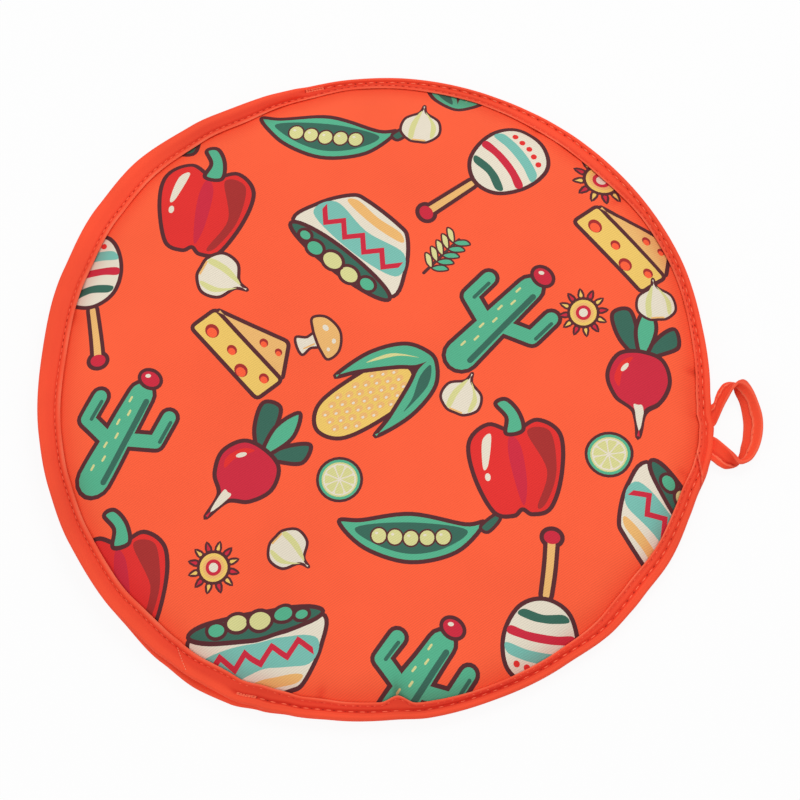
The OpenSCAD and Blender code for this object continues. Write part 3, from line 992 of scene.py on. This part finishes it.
lining = fold_open(np.column_stack([plan, base]))
piece = make_piece("front_lining_cloth", lining, [tuple(reversed(f)) for f in plan_faces], lining_cloth)
across_fold(piece)
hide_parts("front_lining", "flap_lining")

low = fold_open(np.column_stack([plan, base + lining_t + ply]))
high = fold_open(np.column_stack([plan, base + lining_t + ply
                                  + np.maximum(loft(plan_r, plan_a) + np.minimum(swell, swell * 0.9) - 0.15
                                               - held_down(plan_r, plan_a), 0.1)]))
piece = make_piece("front_wadding_pad", *shell(low, high, plan_faces), wadding_fill)
across_fold(piece)
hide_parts("front_wadding", "flap_wadding")


def front_face(x, y):
    r, a = np.hypot(x, y), angle_of(x, y)
    return front_floor(r, a) + whole_t(r, a) + unrest(x, y) - held_down(r, a)


flat, corners, faces, dye = printed_disc(scatter(-17, 0), front_face, True)
piece = make_piece("front_cover_cloth", fold_open(corners), faces, printed_twill)
# the front print, with painted shade near the tape and in the pinches
printed_and_shaded(piece, flat, faces, dye, pinches)
across_fold(piece)
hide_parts("front_cover", "flap_cover")

# ------------------------------------------------------------ front binding
# The same tape round the front disc. Over the sewn part the joining seam
# pulls a groove along it; at the mouth it is a soft, full roll.
front_base = table_gap + rim_t + rim_gap
# the angle at which the bias join starts, and how many degrees it leans
join_at, join_lean = 239.9, 4.7


def front_tape_z(r, angle):
    return float(front_base + cavity(np.array(r)))


def tape_laps(r, angle):
    """The tape's own end lies over its start beside the loop; a bias join crosses it at the mouth."""
    off = float(tape_end_off(r, angle))
    over = 0.75 * float(ease(off / 0.22 + 1) * ease((9 - off) / 8)) if abs(off) < 20 else 0.0
    join = angle - (join_at + join_lean * float(across_tape(r, angle)))
    return over - 0.26 * math.exp(-(join / 0.22) ** 2) + 0.2 * math.exp(-((join - 0.8) / 0.6) ** 2)


def front_rise(r, angle):
    """How the tape's top swells: one full roll at the mouth, two flatter ones beside the joining seam."""
    sewn, inner, seam = float(sewn_share(angle)), float(tape_in(angle)), float(seam_at(angle))
    row, end = inner + float(edge_row_in(angle)), rim_r - rim_t / 2
    v = (r - row) / (end - row)
    mouth = 0.25 + (1.75 * math.sin(math.pi * (0.03 + 0.84 * min(v, 1.05))) ** 0.75 if v > 0 else 0.12)
    if r < seam:
        band = 0.22 + 0.4 * math.sin(math.pi * max(0.0, (r - inner) / (seam - inner)))
    else:
        band = 0.22 + 0.8 * math.sin(math.pi * (0.1 + 0.68 * min(1.2, (r - seam) / (end - seam))))
    t = math.radians(angle)
    wrinkle = 0.10 * math.sin(57 * t) * (0.5 + 0.5 * math.sin(7 * t)) \
        + 0.07 * math.sin(23 * t + 1) * (1 - sewn)
    pucker = 0.09 * math.sin(t * 295) * math.exp(-((r - row) / 1.3) ** 2)
    return mouth + (band - mouth) * sewn + wrinkle + pucker + tape_laps(r, angle) \
        - (0.5 - 0.15 * sewn) * math.exp(-((r - row) / 0.45) ** 2) \
        - (0.45 + 0.4 * float(pulled_tight(angle))) * sewn * math.exp(-((r - seam) / 0.65) ** 2)


def front_top(r, angle):
    return front_tape_z(r, angle) + rim_t + front_rise(r, angle)


# where the upper rim leans out over the lower one
overhang = [(0, 0), (250, 0), (262, 1.2), (300, 1.2), (316, 0.7), (338, 0.6), (350, 0)]
def front_reach(angle):
    return rim_r + 0.25 * math.sin(math.radians(2 * angle + 70)) \
        + 0.14 * math.sin(math.radians(9 * angle + 20)) \
        - 0.35 * float(sewn_share(angle)) + float(around(angle, overhang))


corners, faces = tape_round(front_tape_z, front_rise, front_reach)
piece = make_piece("front_binding_tape", fold_open(corners), faces, tape_cloth)
# painted shade and painted highlight on the front tape
tinted(piece, *rim_shade_and_highlight(corners))
piece.data.flip_normals()
across_fold(piece)
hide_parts("front_binding", "flap_binding")

face_row = rim_line(edge_row_at, lambda r, a: front_top(r, a) - 0.17 * float(sewn_share(a)), 0, 359.5, 0.5)
under_row = rim_line(edge_row_at, lambda r, a: front_tape_z(r, a) + 0.1, 0, 359)
piece = sew("front_binding_stitches", [list(fold_open(face_row)), list(fold_open(under_row))],
            pitch=3.2, length=2.0, thick=0.42, hole=0.42, gap=1.5, closed=True)
across_fold(piece)
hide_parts("front_binding_stitching", "flap_binding_stitching")

# ------------------------------------------------------------- tape's join
# Two lengths of tape are sewn end to end on the bias with finer, paler
# thread; the join falls at the lower end of the mouth.
pale_thread = woven("pale_thread", linear(255, 176, 138), rough=0.5, rib=0.2, lean=30, tone=0.08, bump=0.2)
join_row = []
for u in np.linspace(0.34, 1.0, 30):
    angle = join_at + join_lean * u
    r = float(tape_in(angle)) + (rim_r - rim_t / 2 - float(tape_in(angle))) * u
    join_row.append((*at_angle(r, angle), front_top(r, angle) + 0.04))
piece = sew("tape_join_stitches", [list(fold_open(join_row))],
            pitch=1.25, length=0.6, thick=0.3, hole=0.2, gap=0.2, seed=4)
piece.data.materials.clear()
piece.data.materials.append(pale_thread)
piece.data.polygons.foreach_set("material_index", [0] * len(piece.data.polygons))
across_fold(piece)

# ----------------------------------------------------------- joining seam
# One row of larger stitches through both bound rims, from one end of the
# mouth round past the loop to the other, with a bar tack at each end.
def on_front(line):
    return list(settle(line, True))


sunk = [(0, 0), (272, 0), (283, 0.2), (302, 0.2), (312, 0)]
top_row = rim_line(seam_at, lambda r, a: front_top(r, a) + 0.08 - float(around(a, sunk)), seam_from + 1.6,
                   seam_to - 1.6, 0.5)
foot_row = rim_line(seam_at, lambda r, a: table_gap - 0.05, seam_from + 1.6, seam_to - 1.6)
piece = sew("joining_stitches", [on_front(top_row), list(settle(foot_row))], pitch=4.9, length=2.4, thick=0.6,
            hole=0.52, gap=1.0, seed=3)
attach(piece, "pouch")
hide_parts("joining_seam")

tacks = []
for from_angle, to_angle in ((seam_from - 0.6, seam_from + 2.2), (seam_to - 2.2, seam_to + 0.6)):
    for k in range(3):
        line = lambda a, k=k: seam_at(a) - 0.4 + 0.42 * k
        tacks.append(on_front(rim_line(line, lambda r, a: front_top(r, a) + 0.12, from_angle, to_angle, 0.4)))
        tacks.append(list(settle(rim_line(line, lambda r, a: table_gap - 0.05, from_angle, to_angle, 0.4))))
piece = sew("bar_tack_stitches", tacks, pitch=1.2, length=1.7, thick=0.5, hole=0.4, uneven=0.12, seed=5)
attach(piece, "pouch")
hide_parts("bar_tacks")

# ------------------------------------------------------------ hanging loop
# A length of the same tape folded in four and edge-stitched, its two ends
# caught side by side between the bound rims. It turns over on its way round,
# so its far side shows the face with the row of stitches.
loop_stations = [
    ((147.5, -4.0, 4.0), (147.0, 6.6, 4.0)), ((151.0, -3.8, 4.0), (150.2, 6.8, 4.0)),
    ((154.0, -2.6, 4.1), (152.6, 8.0, 4.1)), ((155.6, 1.0, 4.7), (153.4, 11.4, 3.6)),
    ((157.0, 5.6, 5.6), (154.6, 14.8, 2.9)), ((159.0, 10.6, 7.0), (156.8, 18.2, 2.2)),
    ((161.2, 15.2, 8.8), (160.0, 19.0, 1.8)), ((164.4, 18.0, 10.0), (162.6, 15.2, 1.6)),
    ((168.4, 15.4, 9.8), (164.6, 10.6, 1.5)), ((172.0, 9.6, 9.0), (166.0, 5.4, 1.5)),
    ((174.8, 2.0, 8.4), (167.0, 0.2, 1.5)), ((175.2, -6.0, 8.2), (167.2, -6.2, 1.4)),
    ((173.8, -12.8, 8.0), (166.6, -10.8, 1.6)), ((171.0, -17.6, 7.4), (166.2, -14.4, 1.8)),
    ((166.8, -18.8, 7.0), (164.6, -18.6, 1.7)), ((162.8, -14.4, 6.4), (161.0, -21.4, 2.0)),
    ((158.6, -10.6, 5.0), (157.2, -20.6, 3.0)), ((154.6, -7.8, 4.2), (154.0, -18.8, 4.0)),
    ((151.0, -7.4, 4.0), (150.4, -18.0, 4.0)), ((147.5, -7.2, 4.0), (147.2, -17.8, 4.0))]


upper_turn, lower_turn = 43, 88


def flow(points, per):
    """A smooth open line through the points."""
    p = np.array(points, float)
    p = np.concatenate([[2 * p[0] - p[1]], p, [2 * p[-1] - p[-2]]])
    return np.array([q for i in range(1, len(p) - 2)
                     for q in between(p[i - 1], p[i], p[i + 1], p[i + 2], per)] + [p[-2]])


inner_edge = flow([s[0] for s in loop_stations], 6)
outer_edge = flow([s[1] for s in loop_stations], 6)
middle = (inner_edge + outer_edge) / 2
along = np.gradient(middle, axis=0)
along /= np.linalg.norm(along, axis=1)[:, None]
across = outer_edge - inner_edge
width = np.linalg.norm(across, axis=1)
across /= width[:, None]
face = np.cross(along, across)
face /= np.linalg.norm(face, axis=1)[:, None]
loop_face = [(-0.5, 0.15), (-0.485, 0.5), (-0.44, 0.66), (-0.36, 0.62), (-0.2, 0.44), (0.0, 0.38),
             (0.13, 0.34), (0.165, 0.26), (0.18, 0.66), (0.21, 0.80), (0.3, 0.72), (0.4, 0.74),
             (0.47, 0.58), (0.5, 0.15)]
loop_back = [(0.5, 0.15), (0.485, 0.46), (0.44, 0.60), (0.3, 0.5), (0.16, 0.42), (0.08, 0.34),
             (0.045, 0.26), (0.03, 0.62), (0.0, 0.74), (-0.12, 0.62), (-0.3, 0.56), (-0.42, 0.62),
             (-0.48, 0.5), (-0.5, 0.15)]
loop_round = loop_face + [(u, -h) for u, h in loop_back]
corners, faces = [], []
n = len(loop_round)
for i in range(len(middle)):
    pull = 1 + 0.05 * math.sin(i * 0.9) + 0.03 * math.sin(i * 2.3) \
        + 1.6 * math.exp(-((i - upper_turn) / 5) ** 2) + 1.5 * math.exp(-((i - lower_turn) / 5) ** 2)
    for u, h in loop_round:
        wave = 0.022 * math.sin(i * 0.7) + 0.012 * math.sin(i * 1.9) if abs(u) < 0.25 else 0.0
        corners.append(middle[i] + across[i] * (u + wave) * width[i] + face[i] * h * pull)
for i in range(len(middle) - 1):
    faces += [(i * n + k, i * n + (k + 1) % n, (i + 1) * n + (k + 1) % n, (i + 1) * n + k) for k in range(n)]
faces += [tuple(reversed(range(n))), tuple(range((len(middle) - 1) * n, len(middle) * n))]
piece = make_piece("hanging_loop_tape", corners, faces, tape_cloth)
u = np.array([place[0] for place in loop_round])
on_face = np.arange(n) < len(loop_face)
# painted shade along the folds and on the part of the face beyond its fold
fold_shade = 0.28 * np.exp(-((u - np.where(on_face, 0.15, 0.055)) / 0.035) ** 2) \
    + 0.07 * (on_face == (u < 0.15))
# painted highlight along the fold edges and the strip's sides
fold_highlight = 0.6 * np.exp(-((u - np.where(on_face, 0.21, 0.0)) / 0.025) ** 2) \
    + 0.3 * np.exp(-((abs(u) - 0.47) / 0.04) ** 2)
step = np.arange(len(middle))
# painted shade where the strip turns over
twist_shade = 0.18 * (np.exp(-((step - upper_turn) / 4) ** 2) + np.exp(-((step - lower_turn) / 4) ** 2))
tinted(piece, (fold_shade[None, :] + twist_shade[:, None]).ravel(), np.tile(fold_highlight, len(middle)))
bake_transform(piece)
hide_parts("hanging_loop", "loop_tails")

rows = [(middle + across * (0.25 * width)[:, None] + face * 0.68)[14:-12],
        (middle - across * (0.06 * width)[:, None] - face * 0.58)[14:-12]]
piece = sew("loop_stitches", rows, pitch=2.9, length=2.1, thick=0.36, hole=0.34, gap=0.6, seed=9)
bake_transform(piece)

# ------------------------------------------------- table, light and camera
# A plain white table, soft light from all round with a large lamp behind
# the left shoulder, and a long lens from high in front.
table_mesh = bpy.data.meshes.new("table")
table_half, table_top = 3, -0.0005
table_corners = [(table_half * x, table_half * y, table_top) for x, y in ((-1, -1), (1, -1), (1, 1), (-1, 1))]
table_mesh.from_pydata(table_corners, [], [(0, 1, 2, 3)])
table = in_scene("table", table_mesh)


def looked_at(tree):
    """1 for what is seen straight, mirrored or through glass; 0 for what only lights the pouch."""
    rays = add_node(tree, "ShaderNodeLightPath").outputs
    first = add_node(tree, "ShaderNodeMath", {0: rays["Is Camera Ray"], 1: rays["Is Glossy Ray"]},
                     operation="MAXIMUM")
    return add_node(tree, "ShaderNodeMath", {0: first, 1: rays["Is Transmission Ray"]}, operation="MAXIMUM")


white = bpy.data.materials.new("white_table")
tree = bare_tree(white)
matt = add_node(tree, "ShaderNodeBsdfDiffuse", {"Color": (0.82, 0.82, 0.82, 1)})
glow = add_node(tree, "ShaderNodeEmission", {"Strength": 1.0})
seen = add_node(tree, "ShaderNodeMath", {0: looked_at(tree), 1: 0.92}, operation="MULTIPLY")
mix = add_node(tree, "ShaderNodeMixShader", {"Fac": seen, 1: matt, 2: glow})
add_node(tree, "ShaderNodeOutputMaterial", {"Surface": mix})
table_mesh.materials.append(white)

world = bpy.data.worlds.new("studio")
bpy.context.scene.world = world
tree = bare_tree(world)
soft, plain = [add_node(tree, "ShaderNodeBackground", {"Color": (1, 1, 1, 1), "Strength": strength})
               for strength in (0.69, 1.0)]
mix = add_node(tree, "ShaderNodeMixShader", {"Fac": looked_at(tree), 1: soft, 2: plain})
add_node(tree, "ShaderNodeOutputWorld", {"Surface": mix})

for name, place, power, side in (("key", (0.4, 0.8, 1.35), 8.4, 0.7), ("fill", (-0.9, -0.8, 0.8), 3.2, 1.0)):
    lamp = bpy.data.lights.new(name, "AREA")
    lamp.energy = power
    lamp.size = side
    holder = in_scene(name, lamp)
    holder.location = place
    holder.rotation_mode = "QUATERNION"
    holder.rotation_quaternion = (-Vector(place)).to_track_quat("-Z", "Y")

lens = bpy.data.cameras.new("camera")
camera = in_scene("camera", lens)
bpy.context.scene.camera = camera
azimuth, height, tilt, away = math.radians(13.5), math.radians(72.0), math.radians(7.4), 1.25
back = Vector((math.sin(azimuth) * math.cos(height), -math.cos(azimuth) * math.cos(height), math.sin(height)))
facing = (-back).to_track_quat("-Z", "Y") @ Quaternion((0, 0, 1), -tilt)
scale = 2219.0
lens.lens = scale * away / 800 * lens.sensor_width
right, up = facing @ Vector((1, 0, 0)), facing @ Vector((0, 1, 0))
aim = Vector((0, 0, 0.006)) + right * (400 - 373.0) / scale - up * 13.3 / scale
camera.location = aim + back * away
camera.rotation_mode = "QUATERNION"
camera.rotation_quaternion = facing
lens.clip_start, lens.clip_end = 0.05, 20
bpy.context.scene.view_settings.view_transform = "Standard"
